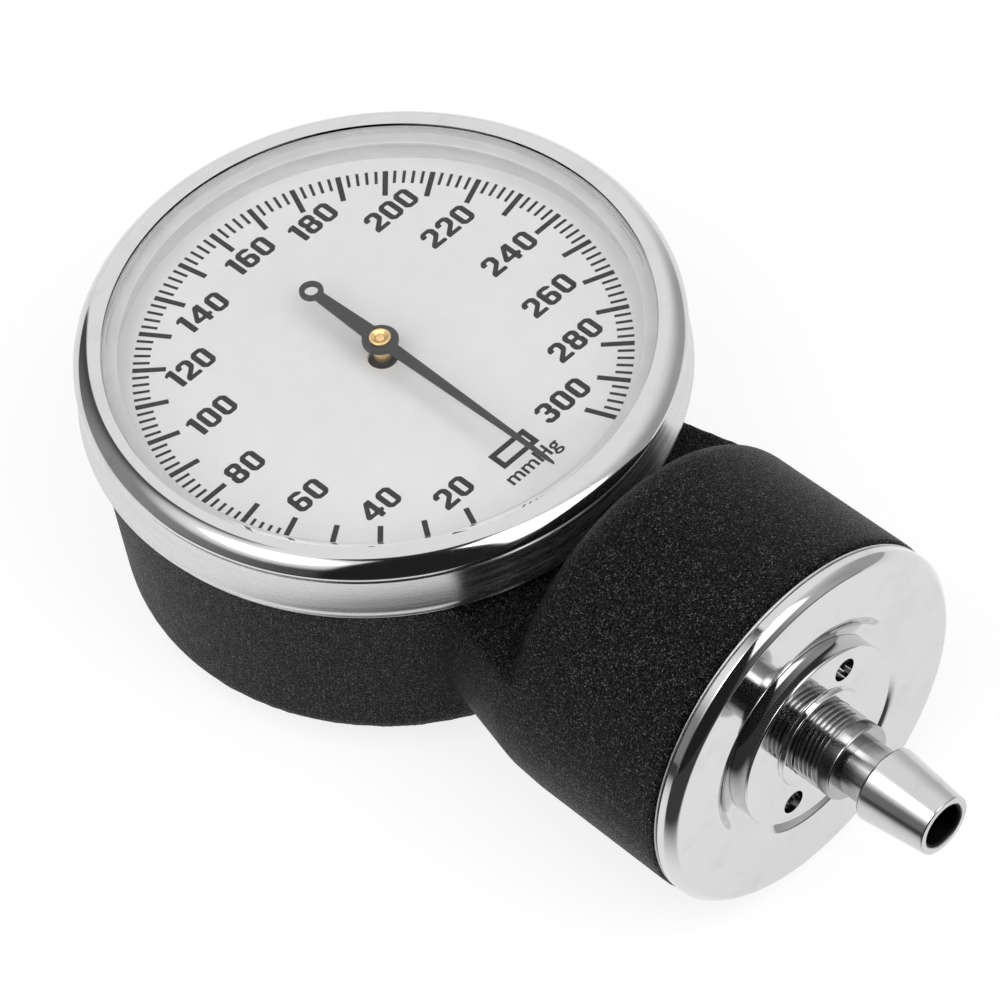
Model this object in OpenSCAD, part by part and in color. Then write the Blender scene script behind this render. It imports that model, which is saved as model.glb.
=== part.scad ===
// Aneroid pressure gauge: a round dial on a cast case, with the pressure capsule
// in a short cylinder beside it and a hose nipple on the cylinder's end cap.
// Millimetres. Z = 0 is the flat back of the case, Z points out of the dial, the
// pointer turns about the Z axis, and the hose leaves along -Y.

/* [Case] */
// Radius of the dial cup at its top edge
cup_r = 26.4; // [24.5:0.1:30]
// Height of the dial cup, from the flat back to the edge under the band
cup_h = 17.7; // [16.5:0.1:24]
// How much narrower the cup is at the back, for the casting's draft
cup_draft = 0.8; // [0:0.1:1.5]
// Rounding of the cup's back edge
cup_round = 1.3; // [0.3:0.1:2.5]
// Thickness of the cup's floor
floor_t = 1.8; // [1:0.1:2.6]
// Drop from the band's foot to the flat shelf on top of the neck
shelf_drop = 0.6; // [0.3:0.1:2]

/* [Capsule cylinder] */
// Radius of the capsule cylinder at its mouth
can_r = 17.75; // [16.5:0.05:20]
// How much narrower the cylinder is at its dial end, for the casting's draft
can_draft = 0.15; // [0:0.05:0.4]
// Height of the cylinder's axis above the flat back
can_z = 10.8; // [10:0.1:12]
// Distance from the pointer axis to the cylinder's dial end
can_near = 30.4; // [29.5:0.1:36]
// Length of the cast cylinder
can_len = 19; // [17:0.1:26]
// Wall of the capsule cylinder
can_wall = 1.5; // [1:0.1:2]
// Rounding of the cylinder's dial end
can_round = 3; // [1:0.1:5]
// Thickness of the wall at the cylinder's dial end
can_end_t = 2; // [1.2:0.1:3]
// Narrowing of the neck towards the cup, per millimetre
neck_slope = 0.23; // [0.1:0.01:0.3]

/* [Bezel and lens] */
// How far the brushed band's widest edge stands out from the cup's edge
band_out = 1.05; // [0.9:0.05:2]
// Height of the brushed band
band_h = 4.9; // [4.5:0.1:6]
// How far the polished bead stands out from the cup's edge
bead_out = 0.85; // [0.7:0.05:1.5]
// Height of the bezel's top face above the band
bezel_h = 2.15; // [2:0.05:3]
// Width of the bezel's lip inside the case's wall
sight_lip = 0.6; // [0.5:0.05:1]
// Thickness of the lens
lens_t = 0.9; // [0.8:0.05:1.5]
// Thickness of the rubber ring under the lens
gasket_t = 0.3; // [0.2:0.05:0.5]

/* [Dial and pointer] */
// Thickness of the dial plate
dial_t = 0.5; // [0.4:0.05:0.8]
// Depth of the dial's face below the lens
dial_depth = 3.05; // [2.8:0.05:3.6]
// Length of the pointer from its axis to its tip
pointer_len = 21.6; // [15:0.1:22.4]
// Distance from the pointer's axis to the centre of its tail ring
tail_len = 8.8; // [5:0.1:15]
// Thickness of the pointer
pointer_t = 0.3; // [0.2:0.05:0.4]
// Turn of the pointer from zero to the last mark, in degrees
pointer_turn = 337.5; // [270:0.5:340]

/* [Movement] */
// Thickness of each movement plate
plate_t = 1.2; // [0.8:0.1:1.6]
// Width of the movement plates
plate_w = 21; // [20:0.5:24]
// Distance between the movement plates
plate_gap = 10; // [9.4:0.1:11]
// Module of the sector and pinion teeth
tooth_m = 0.25; // [0.2:0.01:0.27]
// Number of teeth on the pinion
pinion_n = 12; // [10:1:14]
// Number of teeth that the sector would have as a full wheel
sector_n = 120; // [110:1:124]
// Width of the sector's toothed rim
sector_t = 1; // [0.6:0.1:1.2]
// Travel of the push pin over the whole scale
push_travel = 1.8; // [1:0.1:2]
// Radius of the pointer spindle
spindle_r = 0.8; // [0.6:0.05:1]
// Radius of the fine pivots at the ends of the shafts
pivot_r = 0.4; // [0.3:0.05:0.5]
// Radius of the push pin
pin_r = 1; // [0.7:0.05:1.2]
// Number of turns in the hairspring
spring_turns = 6; // [3:1:8]

/* [End cap and hose nipple] */
// How much smaller the end cap's rim is than the cylinder's mouth
cap_in = 0.15; // [0:0.05:0.3]
// Height of the cap's rim
cap_h = 1.75; // [1.6:0.05:3]
// Radius of the shallow recess for the nut, at the cap's face
recess_r = 12.4; // [12.3:0.05:13.5]
// Depth of the recess
recess_d = 1.35; // [1.1:0.05:1.45]
// Radius of the round nut
nut_r = 9; // [7.5:0.1:9.1]
// Thickness of the round nut
nut_t = 1.95; // [1.6:0.05:2.4]
// Radius of the two spanner holes in the nut
spanner_r = 1.15; // [0.8:0.05:1.5]
// Distance between the spanner holes
spanner_pitch = 13.6; // [12:0.1:15]
// Turn of the spanner holes about the nut's axis, in degrees
spanner_turn = 58.5; // [0:0.5:90]
// Radius of the stem's thread
stem_r = 3.7; // [3.3:0.05:4.2]
// Length of the stem outside the nut
stem_out = 4.5; // [3:0.1:8]
// Radius of the smooth neck of the stem
stem_neck_r = 2.7; // [2.6:0.05:3]
// Length of the smooth neck
stem_neck_len = 3; // [2:0.1:6]
// Largest radius of the hose nipple
nipple_r = 3.6; // [3.3:0.05:4.5]
// Radius of the hose nipple at its tip
nipple_tip_r = 2.78; // [2.5:0.02:3.2]
// Length of the hose nipple
nipple_len = 6.9; // [5:0.1:15]
// Radius of the air bore
bore_r = 2; // [1.5:0.05:2.1]

/* [Capsule] */
// Radius of the corrugated capsule
capsule_r = 14.5; // [12:0.1:14.8]
// Thickness of the capsule at its middle
capsule_t = 6; // [4:0.1:7]
// Thickness of the capsule's metal
sheet_t = 0.3; // [0.2:0.05:0.4]

/* [Clearances] */
// Gap between parts that are pressed or clamped together
seat_gap = 0.02; // [0.01:0.005:0.04]
// Gap around parts that turn or slide, on the radius
run_gap = 0.05; // [0.02:0.01:0.08]
// Gap between the push pin and the sector's cam at rest
cam_gap = 0.03; // [0.02:0.01:0.06]
// Play between the teeth of sector and pinion
backlash = 0.05; // [0.03:0.01:0.07]

/* [Hidden] */

$fn = 96;
cut = 0.5;

// Colours, as the object shows them
paint_black = [0.09, 0.09, 0.1];
chrome = [0.82, 0.83, 0.85];
brushed = [0.75, 0.76, 0.78];
dial_white = [0.9, 0.91, 0.92];
brass = [0.78, 0.63, 0.33];
steel = [0.6, 0.61, 0.63];
rubber = [0.12, 0.12, 0.12];

// Heights in the dial head, from the cup's edge upwards
shelf_z = cup_h - shelf_drop;
band_z = cup_h + seat_gap;
bezel_z = band_z + band_h + seat_gap;
bezel_top = bezel_z + bezel_h;
lip_t = 0.3;
lens_top = bezel_top - lip_t - seat_gap;
lens_z = lens_top - lens_t;
gasket_z = lens_z - seat_gap - gasket_t;
dial_top = lens_z - dial_depth;
dial_z = dial_top - dial_t;

// Radii in the dial head, from the band inwards
band_r = cup_r + band_out;
bead_r = cup_r + bead_out;
spigot_r = cup_r - 1.2;
spigot_wall = 0.8;
dial_r = spigot_r - spigot_wall - 0.1;
spigot_top = dial_top + 1.4;
cup_in_r = dial_r - 0.9;
lens_r = spigot_r - 0.1;
sleeve_r = spigot_r + 0.75;
sleeve_len = 2.6;
sight_r = spigot_r - sight_lip;
spacer_in_r = sight_r - 1.3;
lens_rise = 0.15;

// Capsule cylinder: distances along -Y from the pointer axis
can_far = can_near + can_len;
can_in_r = can_r - can_draft - can_wall;
can_in_near = can_near + can_end_t;
neck_r = can_r - can_draft - 0.22;
neck_reach = 20;
pin_way_r = 4.5;
cap_r = can_r - cap_in;
cap_washer_t = 0.21;
cap_back = can_far + cap_washer_t + 2 * seat_gap;
cap_front = cap_back + cap_h;
recess_y = cap_front - recess_d;
cap_wall = 1.5;
cap_inside = recess_y - cap_wall;
nut_y = recess_y + seat_gap;
nut_front = nut_y + nut_t;
nut_boss_r = 4.8;
nut_boss_t = 0.4;
cap_spigot_len = 3.2;
cap_spigot_wall = 1;
stem_front = nut_front + stem_out;
nipple_y = stem_front + stem_neck_len;
nipple_front = nipple_y + nipple_len;
stem_flange_r = 5.5;
stem_flange_t = 1.2;
washer_r = stem_flange_r + 0.9;
washer_t = 0.5;
stem_flange_y = cap_inside - washer_t - 2 * seat_gap - stem_flange_t;

// Capsule: its rim is half way between the two centres
capsule_back_y = stem_flange_y - seat_gap;
capsule_front_y = capsule_back_y - capsule_t;
capsule_rim_y = capsule_back_y - capsule_t / 2;
capsule_hub_r = 4;
boss_t = 1.2;
boss_r = 3;
boss_y = capsule_front_y - seat_gap - boss_t;

// Gear train: the sector's pivot lies where the push pin's line touches its base circle
ratio = sector_n / pinion_n;
sector_turn = pointer_turn / ratio;
lever_r = push_travel / (sector_turn * PI / 180);
pinion_pr = tooth_m * pinion_n / 2;
sector_pr = tooth_m * sector_n / 2;
centre_dist = pinion_pr + sector_pr;
sector_x = -lever_r;
sector_y = -sqrt(centre_dist * centre_dist - lever_r * lever_r);
mesh_angle = atan2(-sector_y, -sector_x);
pressure_angle = 20;
sector_add = 0.7 * tooth_m;
pinion_add = 1.1 * tooth_m;
root_gap = 0.32 * tooth_m;
guide_r = pin_r + 1.2;
guide_flange_r = guide_r + 1.2;
guide_flange_t = 0.9;
cam_reach = push_travel + 0.6;
pin_end_y = sector_y - cam_reach - cam_gap;

// Movement: heights of the plates and of what turns between them
boss_h = 2.2;
base_z = floor_t + boss_h;
base_top = base_z + plate_t;
bridge_z = base_top + plate_gap;
bridge_top = bridge_z + plate_t;
cam_t = 2;
cam_z = can_z - cam_t / 2;
sector_z = cam_z + cam_t + 0.3;
collet_z = base_top + 0.7;
collet_t = 1;
collet_r = 1.3;
spring_z = collet_z + 0.2;
spring_t = 0.6;
spring_w = 0.12;
spring_r = 4.2;
stud_r = 0.6;
stud_angle = 135;
plate_back = -19.8;
plate_front = 8;
plate_corner = 2;
pillar_r = 1.5;
pillar_in = 2;
screw_r = 0.8;
head_r = 1.6;
head_t = 1;
pillar_screw_depth = 3.5;
screw_hole_spare = 0.5;
slot_w = 0.5;
screw_spots = [[plate_w / 2 - 2, -8], [2 - plate_w / 2, -8], [0, plate_front - 1.8]];
pillar_spots = [
    for (x = [-1, 1], y = [plate_back + pillar_in, plate_front - pillar_in])
        [x * (plate_w / 2 - pillar_in), y]];

// Pointer: its plate sits high on the bush, just under the lens
pointer_top = lens_z - 0.6;
pointer_z = pointer_top - pointer_t;
bush_r = 1;
bush_top = lens_z - 0.2;
bush_z = dial_top + 1.1;
hub_r = 1.65;
ring_r = 1.1;
ring_in_r = 0.62;
dial_hole_r = 1.35;

// Points along an arc, for outlines that are turned or extruded
function arc(c, r, a0, a1, n) =
    [for (i = [0:n]) c + r * [cos(a0 + (a1 - a0) * i / n), sin(a0 + (a1 - a0) * i / n)]];

// One point at radius r and angle a
function polar(r, a) = r * [cos(a), sin(a)];

// Angle by which an involute has turned away at radius r, in degrees
function unroll(rb, r) =
    let (t = sqrt(max(0, r * r / (rb * rb) - 1))) t * 180 / PI - atan(t);

// Half the angle that a tooth covers at radius r
function half_tooth(rp, rb, r) =
    ((PI * tooth_m - backlash) / 4 / rp) * 180 / PI
    + unroll(rb, rp) - unroll(rb, max(r, rb));

// Outline of one tooth, from root to tip and back
function tooth(rp, rr, ra, a) =
    let (rb = rp * cos(pressure_angle), low = max(rr, rb), n = 4)
    let (radii = concat(rr < rb ? [rr] : [], [for (i = [0:n]) low + (ra - low) * i / n]))
    concat(
        [for (r = radii) polar(r, a - half_tooth(rp, rb, r))],
        [for (i = [len(radii) - 1:-1:0]) polar(radii[i], a + half_tooth(rp, rb, radii[i]))]);

// Point of the cam's involute, for a sector angle a in degrees before contact
function cam_point(a) =
    polar(lever_r, a)
    + (cam_reach + lever_r * a * PI / 180) * [sin(a), -cos(a)];

// Stands a shape that is drawn about Z on the cylinder's axis, pointing along -Y
module along_can() {
    translate([0, 0, can_z]) rotate([90, 0, 0]) children();
}

// A tube, closed by nothing, from height z0 to z1
module tube(r_out, r_in, z0, z1) {
    translate([0, 0, z0])
        difference() {
            cylinder(r = r_out, h = z1 - z0);
            translate([0, 0, -cut]) cylinder(r = r_in, h = z1 - z0 + 2 * cut);
        }
}

// A slotted cheese-head screw with its head's underside at the origin
module screw(shank) {
    difference() {
        cylinder(r = head_r, h = head_t, $fn = 48);
        translate([-head_r - cut, -slot_w / 2, head_t * 0.55])
            cube([2 * head_r + 2 * cut, slot_w, head_t]);
    }
    translate([0, 0, -shank]) cylinder(r = screw_r, h = shank, $fn = 48);
}

// Outline of both movement plates
module plate_outline() {
    translate([-plate_w / 2 + plate_corner, plate_back])
        square([plate_w - 2 * plate_corner, plate_front - plate_back]);
    translate([-plate_w / 2, plate_back + plate_corner])
        square([plate_w, plate_front - plate_back - 2 * plate_corner]);
    for (x = [-1, 1], y = [plate_back + plate_corner, plate_front - plate_corner])
        translate([x * (plate_w / 2 - plate_corner), y]) circle(plate_corner);
}

// Cast case: dial cup, neck and capsule cylinder in one piece
module case_outside() {
    rotate_extrude()
        polygon(concat(
            [[0, 0]],
            arc([cup_r - cup_draft - cup_round, cup_round], cup_round, -90, 0, 6),
            [[cup_r, cup_h], [0, cup_h]]));
    cylinder(r = spigot_r, h = spigot_top);
    along_can()
        rotate_extrude()
            polygon(concat(
                [[0, can_near]],
                arc([can_r - can_draft - can_round, can_near + can_round], can_round, -90, 0, 8),
                [[can_r, can_far - 0.3], [can_r - 0.3, can_far], [0, can_far]]));
    intersection() {
        along_can()
            rotate_extrude()
                polygon([[0, can_near - neck_reach],
                    [neck_r - neck_reach * neck_slope, can_near - neck_reach],
                    [neck_r, can_near], [can_r - can_draft - 0.02, can_near + can_round],
                    [0, can_near + can_round]]);
        translate([-2 * can_r, -can_far, 0]) cube([4 * can_r, can_far, shelf_z]);
    }
}

module case() {
    color(paint_black) {
        difference() {
            case_outside();
            translate([0, 0, floor_t]) cylinder(r = cup_in_r, h = spigot_top);
            translate([0, 0, dial_z]) cylinder(r = dial_r + seat_gap, h = spigot_top);
            along_can() {
                translate([0, 0, can_in_near]) cylinder(r = can_in_r, h = can_len);
                translate([0, 0, cup_in_r - 4])
                    cylinder(r = pin_way_r, h = can_near - cup_in_r + 4);
                translate([0, 0, can_near - cut])
                    cylinder(r = guide_r + seat_gap, h = can_end_t + 2 * cut);
            }
        }
        for (p = screw_spots)
            translate([p.x, p.y, floor_t]) tube(2.2, screw_r + seat_gap, 0, boss_h);
    }
}

// Brushed band around the top of the cup: a thin foot lip, a groove above it, and
// a wall that is widest above the groove and narrows in a hollow curve to its top
module case_band() {
    lip_r = band_r - 0.6;
    groove_r = band_r - 0.85;
    edge = 0.4;
    wide_z = band_z + 1.28;
    waist = [band_r - 0.55, band_z + band_h - 0.12];
    rise = waist.y - wide_z - 0.12;
    reach = band_r - 0.02 - waist.x;
    hollow = (rise * rise + reach * reach) / (2 * reach);
    color(brushed)
        rotate_extrude()
            polygon(concat(
                [[spigot_r + seat_gap, band_z], [lip_r, band_z], [lip_r, band_z + 0.2],
                    [groove_r, band_z + 0.3], [groove_r, band_z + 0.6]],
                arc([band_r - edge, wide_z], edge, -60, 10, 4),
                arc(waist + [hollow, 0], hollow, 180 + asin(rise / hollow), 180, 8),
                [[waist.x - 0.12, band_z + band_h],
                    [sleeve_r + seat_gap, band_z + band_h],
                    [sleeve_r + seat_gap, bezel_z - sleeve_len],
                    [spigot_r + seat_gap, bezel_z - sleeve_len]]));
}

// Polished bezel: a bead outside, a lip over the lens, and a sleeve inside the band
module bezel_ring() {
    edge = 0.35;
    edge_c = [bead_r - edge, bezel_top - 0.65 * bezel_h];
    crown = 1.3 * bezel_h - edge;
    crown_c = edge_c - polar(crown - edge, 30);
    lip_turn = acos((sight_r + 0.02 - crown_c.x) / crown);
    color(chrome)
        rotate_extrude()
            polygon(concat(
                [[spigot_r + seat_gap, bezel_z - sleeve_len + seat_gap],
                    [sleeve_r, bezel_z - sleeve_len + seat_gap],
                    [sleeve_r, bezel_z], [bead_r - 0.75, bezel_z],
                    [bead_r - 0.7, edge_c.y - edge]],
                arc(edge_c, edge, -90, 10, 5),
                arc(crown_c, crown, 30, lip_turn, 8),
                [[sight_r, crown_c.y + crown * sin(lip_turn) - 0.05],
                    [sight_r, lens_top + seat_gap], [lens_r + seat_gap, lens_top + seat_gap],
                    [lens_r + seat_gap, lens_z - gasket_t - 2 * seat_gap],
                    [spigot_r + seat_gap, lens_z - gasket_t - 2 * seat_gap]]));
}

// Clear window: its rim is held under the lip, and its middle stands a little higher
module lens() {
    color([0.85, 0.92, 0.95, 0.35]) {
        translate([0, 0, lens_z]) cylinder(r = lens_r, h = lens_t);
        translate([0, 0, lens_top])
            cylinder(r1 = sight_r - 0.1, r2 = sight_r - 0.35, h = lens_rise);
    }
}

module lens_gasket() {
    color(rubber) tube(lens_r - seat_gap, sight_r - 0.1, gasket_z, gasket_z + gasket_t);
}

// Ring that holds the dial down and carries the lens; a thin lip at its top reaches inwards
module spacer_ring() {
    flange_z = spigot_top + seat_gap;
    top = gasket_z - seat_gap;
    wall_r = dial_r - 0.35;
    lip_z = top - 0.35;
    color(dial_white)
        rotate_extrude()
            polygon([[wall_r, dial_top + seat_gap], [dial_r, dial_top + seat_gap],
                [dial_r, flange_z], [spigot_r - seat_gap, flange_z],
                [spigot_r - seat_gap, top], [spacer_in_r, top],
                [spacer_in_r, lip_z], [wall_r, lip_z]]);
}

module dial_plate() {
    color(dial_white) tube(dial_r - seat_gap, dial_hole_r, dial_z + seat_gap, dial_top);
}

// Flat pointer: tapered arms, a round hub and a ring on its tail
module pointer() {
    color(paint_black)
        translate([0, 0, pointer_z])
            linear_extrude(pointer_t)
                difference() {
                    union() {
                        circle(hub_r, $fn = 64);
                        polygon([[-0.55, 0], [0.55, 0], [0.16, 1 - pointer_len],
                            [0, -pointer_len], [-0.16, 1 - pointer_len]]);
                        polygon([[-0.75, 0], [0.75, 0], [0.5, tail_len], [-0.5, tail_len]]);
                        translate([0, tail_len]) circle(ring_r, $fn = 64);
                    }
                    circle(bush_r + seat_gap, $fn = 64);
                    translate([0, tail_len]) circle(ring_in_r, $fn = 64);
                }
}

module pointer_bush() {
    color(brass) tube(bush_r, pivot_r + seat_gap, bush_z, bush_top);
}

module pointer_spindle() {
    color(brass) {
        translate([0, 0, base_z + 0.1]) cylinder(r = pivot_r, h = plate_t, $fn = 48);
        translate([0, 0, base_top + 0.05])
            cylinder(r = spindle_r, h = bush_z - seat_gap - base_top - 0.05, $fn = 64);
        translate([0, 0, bush_z - seat_gap - cut])
            cylinder(r = pivot_r, h = bush_top - 0.25 - bush_z + cut, $fn = 48);
    }
}

module pinion() {
    pinion_t = sector_t + 0.8;
    color(steel)
        translate([0, 0, sector_z - 0.4])
            linear_extrude(pinion_t)
                difference() {
                    polygon([for (i = [0:pinion_n - 1])
                        each tooth(pinion_pr, pinion_pr - sector_add - root_gap,
                            pinion_pr + pinion_add, mesh_angle + 180 + i * 360 / pinion_n)]);
                    circle(spindle_r + seat_gap, $fn = 64);
                }
}

module hairspring_collet() {
    color(brass)
        tube(collet_r, spindle_r + seat_gap, collet_z, collet_z + collet_t);
}

// Flat coil of strip: its inner end meets the collet, its outer end the stud
module hairspring() {
    inner = collet_r + run_gap + spring_w / 2;
    n = spring_turns * 24;
    color(steel)
        translate([0, 0, spring_z])
            linear_extrude(spring_t)
                polygon(concat(
                    [for (i = [0:n]) polar(
                        inner + (spring_r - inner) * i / n + spring_w / 2,
                        stud_angle - (n - i) * 15)],
                    [for (i = [n:-1:0]) polar(
                        inner + (spring_r - inner) * i / n - spring_w / 2,
                        stud_angle - (n - i) * 15)]));
}

module hairspring_stud() {
    color(brass)
        rotate([0, 0, stud_angle])
            translate([spring_r + spring_w / 2 + seat_gap + stud_r, 0, base_top])
                cylinder(r = stud_r, h = 2.4, $fn = 48);
}

// Lower movement plate, screwed to the bosses in the cup's floor
module base_plate() {
    color(brass)
        translate([0, 0, base_z])
            difference() {
                linear_extrude(plate_t) plate_outline();
                translate([0, 0, -cut]) {
                    cylinder(r = pivot_r + run_gap, h = plate_t + 2 * cut, $fn = 48);
                    translate([sector_x, sector_y])
                        cylinder(r = pivot_r + run_gap, h = plate_t + 2 * cut, $fn = 48);
                    for (p = screw_spots)
                        translate([p.x, p.y])
                            cylinder(r = screw_r + seat_gap, h = plate_t + 2 * cut, $fn = 48);
                }
            }
}

// Upper movement plate, carried on the pillars
module bridge_plate() {
    color(brass)
        translate([0, 0, bridge_z])
            difference() {
                linear_extrude(plate_t) plate_outline();
                translate([0, 0, -cut]) {
                    cylinder(r = spindle_r + run_gap, h = plate_t + 2 * cut, $fn = 64);
                    translate([sector_x, sector_y])
                        cylinder(r = pivot_r + run_gap, h = plate_t + 2 * cut, $fn = 48);
                    for (p = pillar_spots)
                        translate([p.x, p.y])
                            cylinder(r = screw_r + seat_gap, h = plate_t + 2 * cut, $fn = 48);
                }
            }
}

module pillars() {
    color(brass)
        for (p = pillar_spots)
            translate([p.x, p.y, 0])
                difference() {
                    translate([0, 0, base_top])
                        cylinder(r = pillar_r, h = plate_gap, $fn = 64);
                    translate([0, 0, bridge_z - pillar_screw_depth - screw_hole_spare])
                        cylinder(
                            r = screw_r + seat_gap,
                            h = pillar_screw_depth + screw_hole_spare + cut,
                            $fn = 48);
                }
}

module pillar_screws() {
    color(steel)
        for (p = pillar_spots)
            translate([p.x, p.y, bridge_top]) screw(plate_t + pillar_screw_depth);
}

module movement_screws() {
    color(steel)
        for (p = screw_spots)
            translate([p.x, p.y, base_top]) screw(plate_t + boss_h - 0.2);
}

// Shaft that carries the sector and its cam between the plates
module sector_arbor() {
    color(steel)
        translate([sector_x, sector_y, 0]) {
            translate([0, 0, base_z + 0.1])
                cylinder(r = pivot_r, h = bridge_top - base_z - 0.2, $fn = 48);
            translate([0, 0, base_top + 0.05])
                cylinder(r = spindle_r, h = plate_gap - 0.1, $fn = 64);
        }
}

// Toothed sector: at rest its first teeth are in the pinion
module sector_gear() {
    step = 360 / sector_n;
    teeth = ceil(sector_turn / step) + 4;
    root_r = sector_pr - pinion_add - root_gap;
    tip_r = sector_pr + sector_add;
    first = mesh_angle + 1.5 * step;
    last = first - (teeth - 1) * step;
    rim_r = root_r - 1.4;
    color(brass)
        translate([sector_x, sector_y, sector_z])
            linear_extrude(sector_t)
                difference() {
                    union() {
                        polygon(concat(
                            [for (i = [teeth - 1:-1:0])
                                each tooth(sector_pr, root_r, tip_r, first - i * step)],
                            arc([0, 0], rim_r, first + step / 2, last - step / 2, 16)));
                        circle(2.4, $fn = 64);
                        for (a = [first, (first + last) / 2, last])
                            rotate([0, 0, a]) translate([0, -0.7]) square([rim_r + 0.6, 1.4]);
                    }
                    circle(spindle_r + seat_gap, $fn = 64);
                }
}

// Cam that the push pin turns: an involute, so that angle follows travel evenly
module sector_cam() {
    low = -(sector_turn + 7);
    high = 9;
    color(steel)
        translate([sector_x, sector_y, cam_z])
            linear_extrude(cam_t)
                difference() {
                    union() {
                        circle(1.9, $fn = 64);
                        polygon(concat(
                            [[0, 0]],
                            [for (i = [0:12]) cam_point(low + (high - low) * i / 12)],
                            [[lever_r + 0.75, -cam_reach + 0.7], [lever_r + 0.3, -0.5],
                                [1.2, 1.8]]));
                    }
                    circle(spindle_r + seat_gap, $fn = 64);
                }
}

// Pin from the capsule to the cam
module push_pin() {
    color(steel)
        along_can()
            translate([0, 0, -pin_end_y])
                cylinder(r = pin_r, h = boss_y + pin_end_y, $fn = 64);
}

// Flanged bush that guides the push pin through the cylinder's end wall
module pin_guide() {
    color(brass)
        along_can() {
            tube(guide_r, pin_r + run_gap, can_near, can_in_near + guide_flange_t);
            tube(guide_flange_r, guide_r - 0.1, can_in_near, can_in_near + guide_flange_t);
        }
}

module capsule_boss() {
    color(brass)
        along_can()
            translate([0, 0, boss_y]) cylinder(r = boss_r, h = boss_t, $fn = 64);
}

// One half of the capsule, drawn about Z with its centre at z = 0 and its rim above
module diaphragm(hole_r) {
    rise = capsule_t / 2 - seat_gap / 2;
    waves = 4;
    n = waves * 8;
    flat_r = capsule_r - 1.5;
    wave = 0.35;
    shape = [for (i = [0:n]) [
        capsule_hub_r + (flat_r - capsule_hub_r) * i / n,
        (rise - sheet_t) * i / n + wave * sin(360 * waves * i / n)]];
    rotate_extrude()
        polygon(concat(
            [[hole_r, 0]], shape,
            [[capsule_r, rise - sheet_t], [capsule_r, rise], [flat_r, rise]],
            [for (i = [n:-1:0]) shape[i] + [0, sheet_t]],
            [[hole_r, sheet_t]]));
}

module capsule_front() {
    color(brass) along_can() translate([0, 0, capsule_front_y]) diaphragm(0);
}

module capsule_back() {
    color(brass)
        along_can()
            translate([0, 0, capsule_back_y]) mirror([0, 0, 1]) diaphragm(bore_r);
}

// Hollow stem: flange inside the cap, thread through the nut, neck for the nipple
module inlet_stem() {
    spigot_end = nipple_y + 2.5;
    color(chrome)
        along_can()
            rotate_extrude()
                polygon([[bore_r, stem_flange_y],
                    [stem_flange_r, stem_flange_y],
                    [stem_flange_r, stem_flange_y + stem_flange_t],
                    [stem_r, stem_flange_y + stem_flange_t],
                    [stem_r, stem_front - 0.25],
                    [stem_r - 0.25, stem_front],
                    [stem_neck_r, stem_front],
                    [stem_neck_r, spigot_end],
                    [bore_r, spigot_end]]);
}

module stem_washer() {
    color(rubber)
        along_can()
            tube(washer_r, stem_r + 0.1, cap_inside - seat_gap - washer_t, cap_inside - seat_gap);
}

// Thin ring between the cylinder's mouth and the cap
module cap_washer() {
    color(brushed)
        along_can()
            tube(cap_r - 0.02, can_in_r + 0.1, can_far + seat_gap, cap_back - seat_gap);
}

// Polished end cap, with a spigot in the cylinder and a recess for the nut
module end_cap() {
    lead = 0.25;
    slope = 2.2;
    slope_turn = 38;
    floor_r = recess_r - 2 * slope * sin(slope_turn)
        - (recess_d - 2 * slope * (1 - cos(slope_turn))) / tan(slope_turn);
    spigot_out_r = can_in_r - 2 * seat_gap;
    spigot_y = cap_back - cap_spigot_len;
    color(chrome)
        along_can()
            rotate_extrude()
                polygon(concat(
                    [[stem_r + 0.1, recess_y]],
                    arc([floor_r, recess_y + slope], slope, -90, slope_turn - 90, 5),
                    arc([recess_r, cap_front - slope], slope, 90 + slope_turn, 90, 5),
                    arc([cap_r - 0.97, cap_front - 0.5], 0.5, 90, 60, 3),
                    arc([cap_r - 1.945, cap_front - 1.892], 2.2, 55, 35, 3),
                    arc([cap_r - 0.3, cap_front - 0.942], 0.3, 30, 0, 3),
                    [[cap_r, cap_back + lead], [cap_r - lead, cap_back],
                        [spigot_out_r, cap_back], [spigot_out_r, spigot_y],
                        [spigot_out_r - cap_spigot_wall, spigot_y],
                        [spigot_out_r - cap_spigot_wall, cap_inside],
                        [stem_r + 0.1, cap_inside]]));
}

// Round nut that clamps the stem to the cap, with two holes for a pin spanner
module spanner_nut() {
    edge = 0.2;
    color(chrome)
        along_can()
            translate([0, 0, nut_y])
                difference() {
                    rotate_extrude()
                        polygon([[stem_r + seat_gap, 0], [nut_r, 0],
                            [nut_r, nut_t - edge], [nut_r - edge, nut_t],
                            [nut_boss_r, nut_t], [nut_boss_r, nut_t + nut_boss_t - 0.1],
                            [nut_boss_r - 0.1, nut_t + nut_boss_t],
                            [stem_r + seat_gap, nut_t + nut_boss_t]]);
                    for (a = [0, 180])
                        rotate([0, 0, spanner_turn + a])
                            translate([spanner_pitch / 2, 0, -cut])
                                cylinder(r = spanner_r, h = nut_t + 2 * cut, $fn = 48);
                }
}

// Hose nipple: a cone that is widest at its shoulder, pressed on the stem's neck
module hose_nipple() {
    seat_r = stem_neck_r + seat_gap;
    shoulder = 0.35;
    mouth = 0.24;
    color(chrome)
        along_can()
            rotate_extrude()
                polygon([[seat_r, nipple_y], [nipple_r - shoulder, nipple_y],
                    [nipple_r - 0.1, nipple_y + 0.1], [nipple_r, nipple_y + shoulder],
                    [nipple_tip_r + 0.1, nipple_front - 0.15],
                    [nipple_tip_r, nipple_front],
                    [bore_r + mouth, nipple_front],
                    [bore_r, nipple_front - mouth],
                    [bore_r, nipple_y + 2.5 + seat_gap],
                    [seat_r, nipple_y + 2.5 + seat_gap]]);
}

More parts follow.
